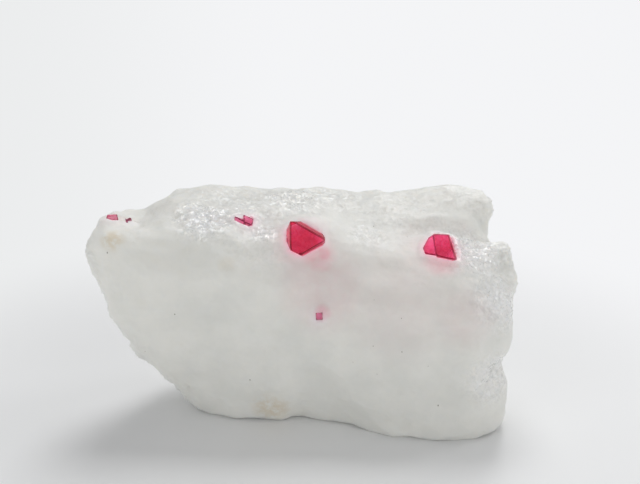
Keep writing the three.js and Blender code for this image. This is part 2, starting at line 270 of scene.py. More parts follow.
@dataclass(frozen=True)
class TreeMaker:
    """Adds and links nodes in one shader or geometry node tree."""

    tree: NodeTree

    def add(self, kind: str, inputs: dict | None = None, **settings: object) -> Node:
        """Adds one node.

        Args:
            kind: The node type's name.
            inputs: Values or sockets to feed, by the input's name or number.
            settings: The node's own properties.

        Returns:
            The new node.
        """
        node = self.tree.nodes.new(kind)
        for name, value in settings.items():
            setattr(node, name, value)
        for key, value in (inputs or {}).items():
            self.feed(node.inputs[key], value)
        return node

    def feed(self, socket: NodeSocket, value: object) -> None:
        """Links a socket to another or gives it a plain value.

        Args:
            socket: The input to feed.
            value: Another node's output, or a value.
        """
        if isinstance(value, NodeSocket):
            self.tree.links.new(value, socket)
        else:
            socket.default_value = value

    def math(self, operation: str, *values: object) -> NodeSocket:
        """Adds a Math node and returns its output."""
        return self.add("ShaderNodeMath", dict(enumerate(values)), operation=operation).outputs[0]

    def vector(self, operation: str, *values: object) -> NodeSocket:
        """Adds a Vector Math node.

        Args:
            operation: The node's operation.
            values: Values or sockets to feed, where a second one for SCALE is a number.

        Returns:
            The output that the operation fills.
        """
        node = self.add("ShaderNodeVectorMath", operation=operation)
        for index, value in enumerate(values):
            name = "Scale" if operation == "SCALE" and index == 1 else index
            self.feed(node.inputs[name], value)
        return node.outputs["Value" if operation in ("DOT_PRODUCT", "LENGTH") else "Vector"]

    def ramp(
        self, value: object, low: float, high: float, start: float = 0.0, end: float = 1.0
    ) -> NodeSocket:
        """Maps one range of numbers smoothly to another.

        Args:
            value: The number to map, as a socket.
            low: Where the range that is mapped starts.
            high: Where it ends.
            start: What low and everything under it become.
            end: What high and everything over it become.

        Returns:
            The node's output.
        """
        node = self.add(
            "ShaderNodeMapRange",
            {"Value": value, "From Min": low, "From Max": high, "To Min": start, "To Max": end},
            interpolation_type="SMOOTHSTEP",
        )
        return node.outputs["Result"]

    def count(self, size: object) -> object:
        """Says how many of a size, a number or a socket, go into one."""
        return self.math("DIVIDE", 1.0, size) if isinstance(size, NodeSocket) else 1.0 / size

    def noise(self, place: object, size: object, detail: float = 2.0, rough: float = 0.5) -> Node:
        """Adds a Noise Texture whose lumps are about size across, in the unit of place."""
        inputs = {"Vector": place, "Scale": self.count(size), "Detail": detail, "Roughness": rough}
        return self.add("ShaderNodeTexNoise", inputs)

    def grains(self, place: object, size: object, feature: str = "F1") -> Node:
        """Adds a Voronoi Texture whose cells are about size across, in the unit of place."""
        inputs = {"Vector": place, "Scale": self.count(size)}
        return self.add("ShaderNodeTexVoronoi", inputs, feature=feature)

    def wander(self, place: object, size: object, reach: object) -> NodeSocket:
        """Bends a place to and fro by a noise and returns the bent place."""
        away = self.vector("SUBTRACT", self.noise(place, size).outputs["Color"], MIDDLE_GREY)
        return self.vector("ADD", place, self.vector("SCALE", away, reach))

    def mix(self, share: object, first: object, second: object) -> NodeSocket:
        """Adds a colour Mix node.

        Args:
            share: How much of the second colour there is.
            first: The first colour.
            second: The second colour.

        Returns:
            The mixed colour.
        """
        node = self.add("ShaderNodeMix", data_type="RGBA", blend_type="MIX")
        self.feed(node.inputs["Factor"], share)
        self.feed(node.inputs["A"], first)
        self.feed(node.inputs["B"], second)
        return node.outputs["Result"]

    def bump(self, height: object, depth: float, normal: object) -> NodeSocket:
        """Adds a Bump node, with its depth in millimetres, and returns the normal."""
        inputs = {"Height": height, "Strength": 1.0, "Distance": depth * MM, "Normal": normal}
        return self.add("ShaderNodeBump", inputs).outputs["Normal"]

    def group(self, tree: NodeTree, inputs: dict[str, object]) -> Node:
        """Places a shader group, feeds its inputs and returns its node."""
        return self.add("ShaderNodeGroup", inputs, node_tree=tree)

    def millimetres(self) -> NodeSocket:
        """Reads the place on the piece in millimetres, for a shader."""
        place = self.add("ShaderNodeTexCoord").outputs["Object"]
        return self.vector("SCALE", place, 1.0 / MM)

    def stored(self, name: str) -> NodeSocket:
        """Reads one of the mesh's named values, for a shader."""
        return self.add("ShaderNodeAttribute", attribute_name=name).outputs["Fac"]

    def named(self, name: str, kind: str = "FLOAT") -> NodeSocket:
        """Reads one of the mesh's named values, for a geometry tree."""
        node = self.add("GeometryNodeInputNamedAttribute", {"Name": name}, data_type=kind)
        return node.outputs["Attribute"]


def emptied(owner: Material | World) -> TreeMaker:
    """Clears the node tree of a new material or world.

    Args:
        owner: The material or world.

    Returns:
        The maker for its tree.
    """
    owner.use_nodes = True
    owner.node_tree.nodes.clear()
    return TreeMaker(owner.node_tree)


def new_tree(
    name: str, kind: str, given: dict[str, str], made: dict[str, str]
) -> tuple[TreeMaker, Node, Node]:
    """Starts a node tree with named inputs and outputs.

    Args:
        name: The tree's name.
        kind: ShaderNodeTree or GeometryNodeTree.
        given: The socket type of each input, by its name.
        made: The socket type of each output, by its name.

    Returns:
        The tree's maker, its Group Input node and its Group Output node.
    """
    tree = bpy.data.node_groups.new(name, kind)
    for side, sockets in (("INPUT", given), ("OUTPUT", made)):
        for label, socket_type in sockets.items():
            tree.interface.new_socket(label, in_out=side, socket_type="NodeSocket" + socket_type)
    maker = TreeMaker(tree)
    return maker, maker.add("NodeGroupInput"), maker.add("NodeGroupOutput")


def end_tree(maker: TreeMaker, given: Node, out: Node, shape: NodeSocket) -> NodeTree:
    """Ends a geometry tree that has a Finish input.

    Args:
        maker: The tree's maker.
        given: Its Group Input node.
        out: Its Group Output node.
        shape: The geometry that it makes.

    Returns:
        The tree, whose geometry is plain mesh and wears the finish.
    """
    plain = maker.add("GeometryNodeRealizeInstances", {"Geometry": shape}).outputs["Geometry"]
    inputs = {"Geometry": plain, "Material": given.outputs["Finish"]}
    dressed = maker.add("GeometryNodeSetMaterial", inputs)
    maker.feed(out.inputs["Geometry"], dressed.outputs["Geometry"])
    return maker.tree


def shape_by(piece: Object, tree: NodeTree, values: dict[str, object]) -> None:
    """Puts a geometry tree on an object.

    Args:
        piece: The object.
        tree: The tree, which also names the modifier.
        values: What the tree's inputs get, by name.
    """
    modifier = piece.modifiers.new(tree.name, "NODES")
    modifier.node_group = tree
    for item in tree.interface.items_tree:
        if item.name in values:
            modifier[item.identifier] = values[item.name]


# --- Shader groups ---


def cleavage_group() -> NodeTree:
    """Makes the group that turns a surface into small mirror-like grain faces.

    Each grain leans its own way, as calcite breaks along its cleavage, and has a chance of its own
    that says how it differs from its neighbours.

    Returns:
        A shader group with Normal and Chance outputs.
    """
    maker, given, out = new_tree(
        "calcite cleavage",
        "ShaderNodeTree",
        {"Place": "Vector", "Normal": "Vector", "Grain": "Float", "Lean": "Float"},
        {"Normal": "Vector", "Chance": "Float"},
    )
    grains = maker.grains(given.outputs["Place"], given.outputs["Grain"])
    lean = maker.vector("SUBTRACT", grains.outputs["Color"], MIDDLE_GREY)
    lean = maker.vector("SCALE", lean, given.outputs["Lean"])
    leaning = maker.vector("NORMALIZE", maker.vector("ADD", given.outputs["Normal"], lean))
    maker.feed(out.inputs["Normal"], leaning)
    split = maker.add("ShaderNodeSeparateColor", {"Color": grains.outputs["Color"]})
    chance = maker.math("ADD", split.outputs["Red"], split.outputs["Green"])
    chance = maker.math("FRACT", maker.math("MULTIPLY", chance, CHANCE_TURNS))
    maker.feed(out.inputs["Chance"], chance)
    return maker.tree


# --- Finishes ---


@dataclass(frozen=True)
class MarbleFinish:
    """White calcite marble: sugary where it broke, with rust and glinting grains, and painted
    light: a red glow by the crystals, whiter marble against them and on their sockets' walls, and
    sugary grains painted bright or grey.

    A noise is given as its size in millimetres, its detail and its roughness. A range is the part
    of a mask's numbers that shows, and sometimes what the mask is at its two ends.
    """

    white: tuple = (0.86, 0.855, 0.81, 1.0)
    grey: tuple = (0.80, 0.80, 0.76, 1.0)
    # painted light: whiter marble against the crystals and on their sockets' walls, brightening
    # the crystals' insides and lifting the shade round them; also the bright grains of the sugary
    # patches
    painted_light: tuple = (0.97, 0.965, 0.95, 1.0)
    painted_shade_grain: tuple = (0.81, 0.81, 0.80, 1.0)  # painted shade on grains of a sugary patch picked by chance, as if they faced away from the light
    veil: tuple = (0.84, 0.76, 0.78, 1.0)  # darker clouds on the walls of the sockets
    # painted glow: the red light that the crystals pass into the marble round them
    painted_red_glow: tuple = (0.86, 0.28, 0.38, 1.0)
    rust: tuple = (0.62, 0.47, 0.25, 1.0)
    clouds: tuple = (7.0, 4.0, 0.6)  # between white and grey
    cloud_range: tuple = (0.35, 0.65)
    blotches: tuple = (1.1, 3.0, 0.6)  # in the painted red glow and in the rust
    red_glow_range: tuple = (0.2, 0.7, 0.6, 1.0)
    rust_range: tuple = (0.3, 0.6)
    veils: tuple = (0.7, 3.0, 0.6)
    veil_range: tuple = (0.4, 0.62)
    lit_grain_range: tuple = (0.2, 0.7)  # the chances of a grain in a sugary patch to be painted bright, as if it caught the light, rather than shaded
    polish_range: tuple = (0.15, 0.35)  # and to be polished
    grain: float = 0.48
    fine_grain: float = 0.24  # on each face of the coarse one
    bend_size: float = 0.9  # the outlines of the grains wander by a noise of this size
    bend: float = 0.5
    lean: float = 0.66
    fine_lean: float = 0.48
    quiet: float = 0.16  # the share of the lean outside the sugary patches
    tooth: float = 0.35  # a noise that is too fine to be in the mesh
    tooth_depth: float = 0.006
    rough: float = 0.62
    polished: float = 0.10  # how rough a polished grain is
    index: float = 1.66
    clear_share: float = 0.7  # how much of the light goes inside
    scatter: float = 3.0  # how far it goes
    scatter_colour: tuple = (1.0, 0.95, 0.88)  # shares of that for red, green and blue
    scatter_forward: float = 0.2

    def material(self, cleavage: NodeTree) -> Material:
        """Builds the marble's material.

        Args:
            cleavage: The group that leans each grain face.

        Returns:
            The material.
        """
        stone = bpy.data.materials.new("marble")
        maker = emptied(stone)
        place = maker.millimetres()
        bent = maker.wander(place, self.bend_size, self.bend)
        glint = maker.stored("glint")
        lively = maker.ramp(glint, 0.0, 1.0, self.quiet, 1.0)
        normal = maker.add("ShaderNodeNewGeometry").outputs["Normal"]
        for grain, lean in ((self.grain, self.lean), (self.fine_grain, self.fine_lean)):
            leaning = maker.math("MULTIPLY", lively, lean)
            inputs = {"Place": bent, "Normal": normal, "Grain": grain, "Lean": leaning}
            faces = maker.group(cleavage, inputs)
            normal = faces.outputs["Normal"]
        chance = faces.outputs["Chance"]
        tooth = maker.noise(place, self.tooth).outputs["Fac"]
        shader = maker.add(
            "ShaderNodeBsdfPrincipled",
            {
                "Base Color": self._colour(maker, place, glint, chance),
                "Roughness": self._roughness(maker, glint, chance),
                "Normal": maker.bump(tooth, self.tooth_depth, normal),
                "IOR": self.index,
                "Subsurface Weight": self.clear_share,
                "Subsurface Radius": self.scatter_colour,
                "Subsurface Scale": self.scatter * MM,
                "Subsurface Anisotropy": self.scatter_forward,
            },
            subsurface_method="RANDOM_WALK",
        )
        maker.add("ShaderNodeOutputMaterial", {"Surface": shader.outputs["BSDF"]})
        return stone

    def _colour(
        self, maker: TreeMaker, place: NodeSocket, glint: NodeSocket, chance: NodeSocket
    ) -> NodeSocket:
        """Builds the colour: clouded white, rust in a few places, and painted light: a red glow by
        the crystals, whiter marble against them and on the sockets' walls, and sugary grains
        painted bright or grey.

        Args:
            maker: The material's maker.
            place: The place on the block, in millimetres.
            glint: How sugary the marble is there.
            chance: The chance of the fine grain there.

        Returns:
            The colour.
        """
        clouds = maker.noise(place, *self.clouds).outputs["Fac"]
        colour = maker.mix(maker.ramp(clouds, *self.cloud_range), self.white, self.grey)
        # painted highlight and shade: in the sugary patches, grains picked by chance are painted
        # bright or grey as if they caught or missed the light
        painted_glint_tone = maker.mix(maker.ramp(chance, *self.lit_grain_range), self.painted_shade_grain, self.painted_light)
        colour = maker.mix(maker.math("MULTIPLY", glint, glint), colour, painted_glint_tone)
        blotches = maker.noise(place, *self.blotches).outputs["Fac"]
        rusty = maker.ramp(blotches, *self.rust_range)
        colour = maker.mix(maker.math("MULTIPLY", maker.stored("rust"), rusty), colour, self.rust)
        # painted light: whiter marble against the crystals, lifting the shade that they cast
        colour = maker.mix(maker.stored("painted_light"), colour, self.painted_light)
        # painted glow of red light from the crystals, in patches beside them
        red_glowing = maker.ramp(blotches, *self.red_glow_range)
        colour = maker.mix(maker.math("MULTIPLY", maker.stored("painted_red_glow"), red_glowing), colour, self.painted_red_glow)
        veils = maker.noise(place, *self.veils).outputs["Fac"]
        # the sockets' walls, seen through the crystals, start from the painted light white, so the
        # crystals look brightly lit inside
        wall = maker.mix(maker.ramp(veils, *self.veil_range), self.painted_light, self.veil)
        return maker.mix(maker.stored("socket"), colour, wall)

    def _roughness(self, maker: TreeMaker, glint: NodeSocket, chance: NodeSocket) -> NodeSocket:
        """Builds the roughness: most grains in the sugary patches are polished."""
        clear = maker.math("MULTIPLY", glint, maker.ramp(chance, *self.polish_range))
        return maker.ramp(clear, 0.0, 1.0, self.rough, self.polished)


@dataclass(frozen=True)
class SpinelFinish:
    """Clear pinkish red spinel, coloured by how far light goes through it.

    Noises and ranges are given as they are in MarbleFinish.
    """

    index: float = 1.718
    rough: float = 0.03
    passed: tuple = (0.99, 0.34, 0.66, 1.0)  # the colour that the crystal lets through
    per_metre: float = 600.0  # how strongly it absorbs the rest
    painted_edge_shade: tuple = (0.24, 0.02, 0.06, 1.0)  # painted shade: a dark line along an edge and along the seam with the marble, where refraction and contact shade darken a real crystal
    edge_shade_range: tuple = (0.5, 1.0)  # in widths of the line
    edge_dark: float = 0.85  # how dark the painted shade on an edge is, next to the seam's
    pale: tuple = (1.0, 0.98, 0.98, 1.0)
    wisp: tuple = (0.78, 0.46, 0.46, 1.0)  # cloudy flaws and healed cracks
    pink: tuple = (1.0, 0.58, 0.76, 1.0)  # small crystals
    pink_range: tuple = (0.0, 0.25)
    glow: tuple = (0.62, 0.07, 0.15, 1.0)  # painted glow that brightens the crystals, partly the red light that spinel gives off as it fluoresces
    pink_glow: tuple = (1.0, 0.26, 0.45, 1.0)  # painted glow that stands in for the light reaching a small crystal through the marble
    glow_strength: float = 0.22
    flaws: tuple = (1.3, 4.0, 0.65)
    flaw_range: tuple = (0.42, 0.62)
    crack: float = 1.6
    crack_bend: float = 1.5
    crack_range: tuple = (0.0, 0.05, 0.8, 0.0)
    hillock: float = 1.5  # the low steps that grew on the faces
    hillock_lean: float = 0.08
    etched: float = 0.35
    etch_depth: float = 0.012

    def material(self, cleavage: NodeTree) -> Material:
        """Builds the spinel's material.

        Args:
            cleavage: The group that leans patches of a face.

        Returns:
            The material.
        """
        glass = bpy.data.materials.new("spinel")
        maker = emptied(glass)
        place = maker.millimetres()
        flaws = maker.noise(place, *self.flaws)
        small = maker.stored("small")
        line = self._line(maker)
        body = maker.mix(self._flawed(maker, place, flaws), self.pale, self.wisp)
        body = maker.mix(maker.ramp(small, *self.pink_range), body, self.pink)
        glow = maker.mix(small, self.glow, self.pink_glow)
        etch = maker.noise(place, self.etched).outputs["Fac"]
        steps = self._steps(maker, cleavage, maker.vector("ADD", place, flaws.outputs["Color"]))
        surface = maker.add(
            "ShaderNodeBsdfPrincipled",
            {
                # painted shade darkens the colour along the edges and the seam, and all over a
                # shaded crystal
                "Base Color": maker.mix(line, body, self.painted_edge_shade),
                "Roughness": self.rough,
                "IOR": self.index,
                "Transmission Weight": 1.0,
                # painted glow, kept off the painted edge shade
                "Emission Color": maker.mix(line, glow, BLACK),
                "Emission Strength": self.glow_strength,
                "Normal": maker.bump(etch, self.etch_depth, steps),
            },
        )
        inside = {"Color": self.passed, "Density": self.per_metre}
        depth = maker.add("ShaderNodeVolumeAbsorption", inside)
        lamp = maker.add("ShaderNodeLightPath").outputs["Is Shadow Ray"]
        clear = maker.add("ShaderNodeBsdfTransparent", {"Color": WHITE})
        shaders = {0: lamp, 1: surface.outputs["BSDF"], 2: clear.outputs["BSDF"]}
        both = maker.add("ShaderNodeMixShader", shaders).outputs["Shader"]
        ends = {"Surface": both, "Volume": depth.outputs["Volume"]}
        maker.add("ShaderNodeOutputMaterial", ends)
        return glass

    def _steps(self, maker: TreeMaker, cleavage: NodeTree, place: NodeSocket) -> NodeSocket:
        """Leans patches of the faces a little.

        Args:
            maker: The material's maker.
            cleavage: The group that leans them.
            place: The place on the crystal, in millimetres, bent where the patches bend.

        Returns:
            The normal.
        """
        flat = maker.add("ShaderNodeNewGeometry").outputs["Normal"]
        inputs = {"Place": place, "Normal": flat, "Grain": self.hillock, "Lean": self.hillock_lean}
        return maker.group(cleavage, inputs).outputs["Normal"]

    def _flawed(self, maker: TreeMaker, place: NodeSocket, flaws: Node) -> NodeSocket:
        """Builds the mask of the cloudy flaws and the healed cracks.

        Args:
            maker: The material's maker.
            place: The place on the crystal, in millimetres.
            flaws: The noise of the flaws, which also bends the cracks.

        Returns:
            The mask.
        """
        away = maker.vector("SCALE", flaws.outputs["Color"], self.crack_bend)
        cracks = maker.grains(maker.vector("ADD", place, away), self.crack, "DISTANCE_TO_EDGE")
        crack = maker.ramp(cracks.outputs["Distance"], *self.crack_range)
        return maker.math("MAXIMUM", maker.ramp(flaws.outputs["Fac"], *self.flaw_range), crack)

    def _line(self, maker: TreeMaker) -> NodeSocket:
        """Builds the mask of the painted shade: dark lines along the crystal's edges and its seam,
        and shade over a whole crystal.

        Args:
            maker: The material's maker.

        Returns:
            The mask.
        """
        edge = maker.ramp(maker.stored("edge"), *self.edge_shade_range, self.edge_dark, 0.0)
        seam = maker.ramp(maker.stored("seam"), *self.edge_shade_range, 1.0, 0.0)
        return maker.math("MAXIMUM", maker.math("MAXIMUM", edge, seam), maker.stored("shade_all_over"))


@dataclass(frozen=True)
class MicaFinish:
    """The plain brownish grey of the dark flakes."""

    colour: tuple = (0.38, 0.36, 0.31, 1.0)
    rough: float = 0.4

    def material(self) -> Material:
        """Builds the flakes' material.

        Returns:
            The material.
        """
        flake = bpy.data.materials.new("dark flakes")
        maker = emptied(flake)
        inputs = {"Base Color": self.colour, "Roughness": self.rough}
        shader = maker.add("ShaderNodeBsdfPrincipled", inputs)
        maker.add("ShaderNodeOutputMaterial", {"Surface": shader.outputs["BSDF"]})
        return flake


# --- The crystals ---


@dataclass(frozen=True)
class Character:
    """What sets one crystal apart from the others."""

    small: float = 0.0  # how pink it is, and how much painted glow it gets, standing in for light that reaches it through the marble
    seam: float = 1.0  # how wide its painted seam shade is, next to a large crystal's
    shade_all_over: float = 0.0  # painted shade over the whole crystal, as on the chip that lies in shadow


@dataclass(frozen=True)
class CrystalDresser:
    """Gives each packed crystal fine faces that carry its painted shade lines."""

    finish: Material
    skin: BVHTree  # the block's outside, before its sockets are cut
    facet: float = 0.03  # the longest side of a fine face, as a share of the crystal's width
    passes: int = 9
    sharp: float = 20.0  # degrees between two faces that meet in a crystal edge
    step: float = 0.05  # spacing of the points along the crystal edges
    line: float = 0.045  # how wide the painted shade lines are
    line_share: float = 0.018  # and how much wider, as a share of the crystal's width
    seam_share: float = 1.3  # the seam's line next to an edge's
    seam_reach: float = 1.0  # nothing is dark further than this from the seam
    corner: float = 0.35  # the lines widen this near a corner
    corner_gain: float = 1.6
    characters: dict[str, Character] = field(default_factory=lambda: {
        "spinel_chip": Character(small=0.1, shade_all_over=0.9),
        "spinel_left": Character(small=0.1, seam=0.5, shade_all_over=0.35),
        "spinel_top": Character(small=0.6, seam=0.5),
        "spinel_low": Character(small=1.0, seam=0.01),
    })

    def dress(self, node: Object) -> Object:
        """Makes the piece that stands for a packed crystal.

        Args:
            node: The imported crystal.

        Returns:
            The finished piece.
        """
        piece = merged_copy(node, node.name + "_clear")
        corners = vertex_places(piece.data)
        width = float(np.ptp(corners, axis=0).max())
        edges = point_tree(self._edge_points(piece.data))
        self._divide(piece.data, self.facet * width)
        places = vertex_places(piece.data)
        from_corner = distance_to(point_tree(corners), places)
        line = self.line + self.line_share * width
        line = line * (1.0 + self.corner_gain * (1.0 - smooth_step(0.0, self.corner, from_corner)))
        seam = nearest_distance([self.skin], places, self.seam_reach) / (line * self.seam_share)
        own = self.characters.get(node.name, Character())
        store_values(piece.data, "edge", distance_to(edges, places) / line)
        store_values(piece.data, "seam", seam / own.seam)
        store_values(piece.data, "shade_all_over", np.full(len(places), own.shade_all_over))
        store_values(piece.data, "small", np.full(len(places), own.small))
        piece.data.materials.clear()
        piece.data.materials.append(self.finish)
        return piece

    def _edge_points(self, mesh: Mesh) -> list[Vector]:
        """Puts points along the crystal edges.

        Args:
            mesh: The crystal's mesh.

        Returns:
            The points, in millimetres.
        """
        shape = bmesh.new()
        shape.from_mesh(mesh)
        points = []
        for edge in shape.edges:
            if edge.calc_face_angle(0.0) > math.radians(self.sharp):
                start, end = (vertex.co for vertex in edge.verts)
                count = max(2, math.ceil(edge.calc_length() / (self.step * MM)))
                points += [start.lerp(end, i / count) / MM for i in range(count + 1)]
        shape.free()
        return points

    def _divide(self, mesh: Mesh, longest: float) -> None:
        """Divides the flat faces into fine ones.

        Args:
            mesh: The crystal's mesh.
            longest: A side longer than this is divided, in millimetres.
        """
        shape = bmesh.new()
        shape.from_mesh(mesh)
        for _ in range(self.passes):
            long = [edge for edge in shape.edges if edge.calc_length() > longest * MM]
            bmesh.ops.subdivide_edges(shape, edges=long, cuts=1)
            bmesh.ops.triangulate(shape, faces=shape.faces)
        shape.to_mesh(mesh)
        shape.free()


# --- The block ---


@dataclass(frozen=True)
class Patch:
    """A soft round region of the block, in millimetres."""

    middle: tuple
    radius: float
    strength: float = 1.0
    core: float = 0.2  # the cover is even over this share of the radius

    def share(self, places: np.ndarray) -> np.ndarray:
        """Says how strongly the patch covers each point, from 0 to strength."""
        distance = np.linalg.norm(places - np.array(self.middle), axis=1)
        return self.strength * (1.0 - smooth_step(self.core * self.radius, self.radius, distance))


def strongest(patches: list[Patch], places: np.ndarray) -> np.ndarray:
    """Finds the strongest cover that several patches give each point.

    Args:
        patches: The patches.
        places: One row for each point, in millimetres.

    Returns:
        One number for each point.
    """
    return np.max([patch.share(places) for patch in patches], axis=0)


@dataclass
class Block:
    """The marble block: its broken grain, its sockets and what colours it."""

    crystals: list[Object]
    finish: Material
    voxel: float = 0.27
    socket_wall: float = 0.25  # a face nearer than this to a crystal belongs to its socket
    contact: float = 0.985  # a socket's size as a share of its crystal's, so that they touch
    clearing: tuple = (0.0, 0.35, 0.7)  # how far each socket cut is moved out of the block
    swell: float = 0.28  # the marble stands this much higher against a crystal
    swell_range: tuple = (0.3, 1.3)  # it is lower from the first distance and ends at the second
    coarse_grain: float = 1.5
    small_grain: float = 0.8
    bend_size: float = 3.0  # the outlines of the grains wander by a noise of this size
    bend: float = 1.0
    relief: float = 0.20  # how steeply a grain's face leans
    calm: float = 0.2  # the share of the relief outside the sugary patches
    crumble: float = 2.5  # how much stronger the relief is along the crumbled edges
    collar: tuple = (0.2, 0.9)  # no relief nearer than the first to a crystal, all past the second
    seat: tuple = (0.02, 0.9)  # and likewise above the plane that the block rests on
    painted_light_reach: float = 2.0
    painted_light_fade: float = 0.3  # how fast the painted light on the marble against a crystal gives way
    buried: float = 0.01  # marble deeper than this is a socket's wall
    sugary: list[Patch] = field(default_factory=lambda: [
        Patch((-12.7, -4.0, 27.9), 6.0),
        Patch((-14.5, -3.0, 28.8), 5.0, 0.85),
        Patch((-5.0, -5.2, 26.6), 3.6, 0.8),
        Patch((-1.5, 3.0, 29.0), 9.0, 0.7),
        Patch((4.0, 5.0, 28.6), 7.5, 0.6),
        Patch((8.6, -3.6, 26.0), 5.5, 0.6),
        Patch((22.0, -4.0, 23.5), 8.0, 0.9),
        Patch((-8.0, 1.0, 29.0), 15.0, 0.5),
        Patch((-5.0, -8.0, 25.0), 6.0, 0.35),
        Patch((12.0, 4.0, 28.0), 15.0, 0.4),
        Patch((22.0, 7.0, 29.0), 8.0, 0.45),
        Patch((-22.0, -3.0, 28.0), 7.0, 0.3),
        Patch((0.0, 20.0, 14.0), 25.0, 0.85),
        Patch((-20.0, 15.0, 13.0), 19.0, 0.85),
        Patch((22.0, 18.0, 14.0), 20.0, 0.85),
        Patch((29.0, 2.0, 10.0), 12.0, 0.7),
        Patch((25.2, -9.0, 19.0), 7.0, 0.9),
        Patch((24.5, -11.0, 9.0), 6.5, 0.8),
    ])
    # where the painted red glow lies, beside the crystals
    painted_red_glows: list[Patch] = field(default_factory=lambda: [
        Patch((2.3, -8.2, 24.2), 3.2, 0.36),
        Patch((2.8, -8.3, 24.9), 1.7, 0.55),
        Patch((3.0, -10.0, 21.0), 8.0, 0.16),
        Patch((17.8, -7.1, 23.2), 3.4, 0.30),
        Patch((20.0, -11.6, 17.7), 6.0, 0.10),
        Patch((12.2, -11.4, 19.9), 11.0, 0.08),
        Patch((2.5, -10.4, 17.8), 1.7, 0.7),
    ])
    rusts: list[Patch] = field(default_factory=lambda: [
        Patch((-24.0, -7.6, 26.6), 2.1, 0.45),
        Patch((-4.3, -7.6, 2.6), 3.6, 0.4),
        Patch((-9.4, -9.6, 24.0), 1.6, 0.12),
    ])
    crumbled: list[Patch] = field(default_factory=lambda: [
        Patch((-27.0, -4.0, 22.0), 5.0),
        Patch((-25.0, -4.0, 17.0), 5.0),
        Patch((-22.0, -4.0, 11.0), 5.0),
        Patch((-17.0, -4.0, 5.0), 5.0),
        Patch((28.0, -3.0, 21.0), 5.0),
        Patch((27.5, -4.0, 15.0), 5.0),
        Patch((27.5, -5.0, 8.0), 5.0),
        Patch((26.0, 4.0, 29.0), 4.0, 0.7),
        Patch((0.0, 20.0, 13.0), 24.0),
        Patch((-19.0, 14.0, 12.0), 17.0),
        Patch((22.0, 18.0, 12.0), 19.0),
    ])

    def build(self) -> tuple[Object, BVHTree]:
        """Makes the block.

        Returns:
            The finished marble, and a search tree over its outside without the sockets.
        """
        block = merged_copy(bpy.data.objects["marble"], "marble_block")
        trees = [surface_tree(crystal) for crystal in self.crystals]
        self._close_sockets(block, trees)
        self._remesh(block)
        self._swell(block, trees)
        self._break_grain(block, trees)
        skin = surface_tree(block)
        self._cut_sockets(block)
        self._paint(block, trees, skin)
        return block, skin

    def _close_sockets(self, block: Object, trees: list[BVHTree]) -> None:
        """Takes out the sockets' walls and closes the block over them.

        Args:
            block: The block.
            trees: The crystals' surfaces.
        """
        places = vertex_places(block.data)
        near = nearest_distance(trees, places, self.socket_wall) < self.socket_wall
        shape = bmesh.new()
        shape.from_mesh(block.data)
        walls = [face for face in shape.faces if all(near[vertex.index] for vertex in face.verts)]
        bmesh.ops.delete(shape, geom=walls, context="FACES")
        rims = [edge for edge in shape.edges if edge.is_boundary]
        bmesh.ops.holes_fill(shape, edges=rims, sides=0)
        bmesh.ops.triangulate(shape, faces=[face for face in shape.faces if len(face.verts) > 3])
        bmesh.ops.recalc_face_normals(shape, faces=shape.faces)
        shape.to_mesh(block.data)
        shape.free()

    def _remesh(self, block: Object) -> None:
        """Covers the block with an even fine mesh.

        Args:
            block: The block.
        """
        remesh = block.modifiers.new("even mesh", "REMESH")
        remesh.mode = "VOXEL"
        remesh.voxel_size = self.voxel * MM
        remesh.use_smooth_shade = True
        applied(block)

    def _swell(self, block: Object, trees: list[BVHTree]) -> None:
        """Raises the marble against the sides of the crystals.

        Args:
            block: The block.
            trees: The crystals' surfaces.
        """
        near = nearest_distance(trees, vertex_places(block.data), self.swell_range[1])
        rise = self.swell * (1.0 - smooth_step(*self.swell_range, near))
        normals = [vertex.normal.copy() for vertex in block.data.vertices]
        for vertex, normal, height in zip(block.data.vertices, normals, rise):
            vertex.co += normal * float(height) * MM

    def _break_grain(self, block: Object, trees: list[BVHTree]) -> None:
        """Breaks the surface into leaning grain faces, except by the crystals and the seat.

        Args:
            block: The block.
            trees: The crystals' surfaces.
        """
        places = vertex_places(block.data)
        lively = self.calm + (1.0 - self.calm) * strongest(self.sugary, places)
        lively += self.crumble * strongest(self.crumbled, places)
        lively *= smooth_step(*self.collar, nearest_distance(trees, places, self.collar[1]))
        lively *= smooth_step(*self.seat, places[:, 2])
        store_values(block.data, "relief", lively)
        values = {
            "Coarse Grain": self.coarse_grain * MM,
            "Small Grain": self.small_grain * MM,
            "Bend Size": self.bend_size * MM,
            "Bend": self.bend * MM,
            "Relief": self.relief,
            "Finish": self.finish,
        }
        shape_by(block, broken_grain_tree(), values)
        applied(block)

    def _cut_sockets(self, block: Object) -> None:
        """Cuts each crystal out of the block.

        Args:
            block: The block.
        """
        cutters = []
        for crystal in self.crystals:
            for clear in self.clearing:
                cutter = merged_copy(crystal, "socket of " + crystal.name)
                corners = [vertex.co for vertex in cutter.data.vertices]
                middle = sum(corners, Vector()) / len(corners)
                outward = main_face_normal(cutter.data) * clear * MM
                shrink = Matrix.Scale(self.contact, 4) @ Matrix.Translation(-middle)
                cutter.data.transform(Matrix.Translation(middle + outward) @ shrink)
                cut = block.modifiers.new(cutter.name, "BOOLEAN")
                cut.operation = "DIFFERENCE"
                cut.solver = "MANIFOLD"
                cut.object = cutter
                cutters.append(cutter)
        applied(block)
        for cutter in cutters:
            bpy.data.meshes.remove(cutter.data)

    def _paint(self, block: Object, trees: list[BVHTree], skin: BVHTree) -> None:
        """Stores where the marble is rusty, full of glints or inside a socket, and where it takes
        the painted red glow and the painted light by the crystals.

        Args:
            block: The block.
            trees: The crystals' surfaces.
            skin: The block's outside, before its sockets were cut.
        """
        places = vertex_places(block.data)
        store_values(block.data, "glint", strongest(self.sugary, places))
        store_values(block.data, "rust", strongest(self.rusts, places))
        store_values(block.data, "painted_red_glow", strongest(self.painted_red_glows, places))
